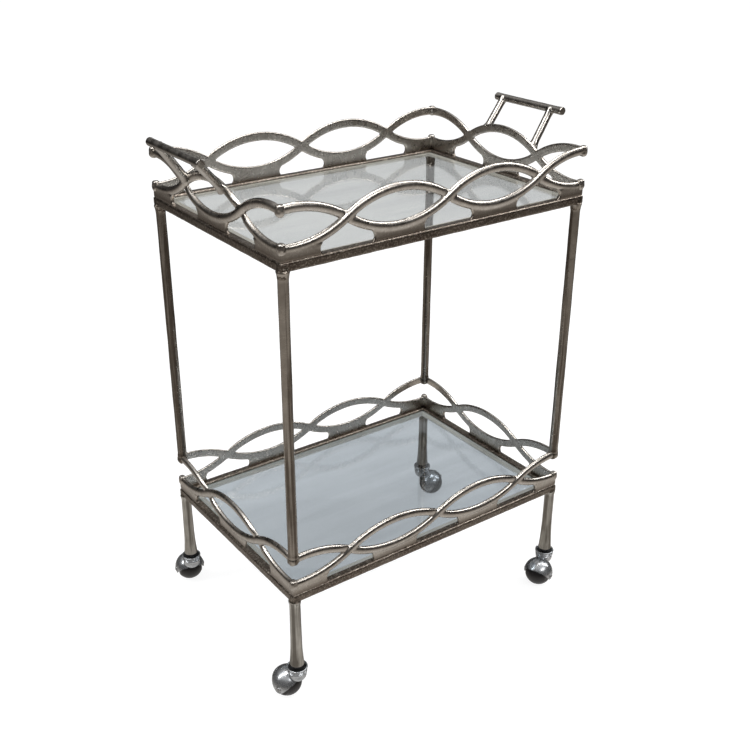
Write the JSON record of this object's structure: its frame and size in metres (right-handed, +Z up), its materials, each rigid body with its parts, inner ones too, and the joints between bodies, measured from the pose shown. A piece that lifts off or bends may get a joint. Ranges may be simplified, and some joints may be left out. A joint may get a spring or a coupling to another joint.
{
  "type": "bar cart",
  "caption": "Rolling two-tier bar cart with interlaced-wave metal galleries, drop-in glass shelves, side handles and hooded ball casters.",
  "frame": {"origin": "on the floor, under the middle of the four posts", "axes": "+X along the cart's length, from handle to handle; +Y towards its back long side; +Z up"},
  "size_m": [0.693, 0.4746, 0.9114],
  "materials": {
    "rail_metal": "cast and nickel plated, antiqued, pitted on its outer face",
    "gallery_metal": "cast and nickel plated, antiqued, bright on its rounded outer beads",
    "post_metal": "antiqued nickel plate with brown streaks",
    "leg_metal": "satin nickel plate",
    "handle_metal": "antiqued nickel plate",
    "ledge_metal": "antiqued nickel plate, dull",
    "glass": "clear float glass with a faint blue-grey tint",
    "socket_plastic": "black moulded sleeve",
    "caster_chrome": "bright plated zinc",
    "pin_steel": "turned steel",
    "ball_tread": "near-black, faintly brown"
  },
  "bodies": {
    "frame": {"caster_socket_back_left": "socket_plastic", "caster_socket_back_right": "socket_plastic", "caster_socket_front_left": "socket_plastic", "caster_socket_front_right": "socket_plastic", "handle_arm_left_back": "handle_metal", "handle_arm_left_front": "handle_metal", "handle_arm_right_back": "handle_metal", "handle_arm_right_front": "handle_metal", "handle_grip_left": "handle_metal", "handle_grip_right": "handle_metal", "leg_back_left": "leg_metal", "leg_back_right": "leg_metal", "leg_front_left": "leg_metal", "leg_front_right": "leg_metal", "lower_gallery_back": "gallery_metal", "lower_gallery_front": "gallery_metal", "lower_gallery_left": "gallery_metal", "lower_gallery_right": "gallery_metal", "lower_ledge": "ledge_metal", "lower_rail_back": "rail_metal", "lower_rail_front": "rail_metal", "lower_rail_left": "rail_metal", "lower_rail_right": "rail_metal", "post_back_left": "post_metal", "post_back_right": "post_metal", "post_bosses": "post_metal", "post_front_left": "post_metal", "post_front_right": "post_metal", "upper_gallery_back": "gallery_metal", "upper_gallery_front": "gallery_metal", "upper_gallery_left": "gallery_metal", "upper_gallery_right": "gallery_metal", "upper_ledge": "ledge_metal", "upper_rail_back": "rail_metal", "upper_rail_front": "rail_metal", "upper_rail_left": "rail_metal", "upper_rail_right": "rail_metal"},
    "upper_glass": {"upper_glass": "glass"},
    "lower_glass": {"lower_glass": "glass"},
    "caster_front_left": {"caster_stem_front_left": "pin_steel", "caster_collar_front_left": "caster_chrome", "caster_hood_front_left": "caster_chrome", "caster_axle_front_left": "pin_steel"},
    "ball_front_left": {"caster_ball_front_left": "ball_tread"},
    "caster_front_right": {"caster_stem_front_right": "pin_steel", "caster_collar_front_right": "caster_chrome", "caster_hood_front_right": "caster_chrome", "caster_axle_front_right": "pin_steel"},
    "ball_front_right": {"caster_ball_front_right": "ball_tread"},
    "caster_back_left": {"caster_stem_back_left": "pin_steel", "caster_collar_back_left": "caster_chrome", "caster_hood_back_left": "caster_chrome", "caster_axle_back_left": "pin_steel"},
    "ball_back_left": {"caster_ball_back_left": "ball_tread"},
    "caster_back_right": {"caster_stem_back_right": "pin_steel", "caster_collar_back_right": "caster_chrome", "caster_hood_back_right": "caster_chrome", "caster_axle_back_right": "pin_steel"},
    "ball_back_right": {"caster_ball_back_right": "ball_tread"}
  },
  "joints": [
    {"name": "upper_glass_lift", "type": "slide", "parent": "frame", "child": "upper_glass", "axis": [0, 0, 1], "range_m": [0, 0.1]},
    {"name": "lower_glass_lift", "type": "slide", "parent": "frame", "child": "lower_glass", "axis": [0, 0, 1], "range_m": [0, 0.1]},
    {"name": "swivel_front_left", "type": "hinge", "parent": "frame", "child": "caster_front_left", "pos_m": [-0.289, -0.196, 0.0725], "axis": [0, 0, 1], "continuous": true},
    {"name": "roll_front_left", "type": "hinge", "parent": "caster_front_left", "child": "ball_front_left", "pos_m": [-0.29834, -0.17686, 0.0255], "axis": [0.8988, 0.4384, 0], "continuous": true},
    {"name": "swivel_front_right", "type": "hinge", "parent": "frame", "child": "caster_front_right", "pos_m": [0.289, -0.196, 0.0725], "axis": [0, 0, 1], "continuous": true},
    {"name": "roll_front_right", "type": "hinge", "parent": "caster_front_right", "child": "ball_front_right", "pos_m": [0.26911, -0.20363, 0.0255], "axis": [-0.3584, 0.9336, 0], "continuous": true},
    {"name": "swivel_back_left", "type": "hinge", "parent": "frame", "child": "caster_back_left", "pos_m": [-0.289, 0.196, 0.0725], "axis": [0, 0, 1], "continuous": true},
    {"name": "roll_back_left", "type": "hinge", "parent": "caster_back_left", "child": "ball_back_left", "pos_m": [-0.28494, 0.21691, 0.0255], "axis": [0.9816, -0.1908, 0], "continuous": true},
    {"name": "swivel_back_right", "type": "hinge", "parent": "frame", "child": "caster_back_right", "pos_m": [0.289, 0.196, 0.0725], "axis": [0, 0, 1], "continuous": true},
    {"name": "roll_back_right", "type": "hinge", "parent": "caster_back_right", "child": "ball_back_right", "pos_m": [0.30182, 0.17899, 0.0255], "axis": [-0.7986, -0.6018, 0], "continuous": true}
  ]
}
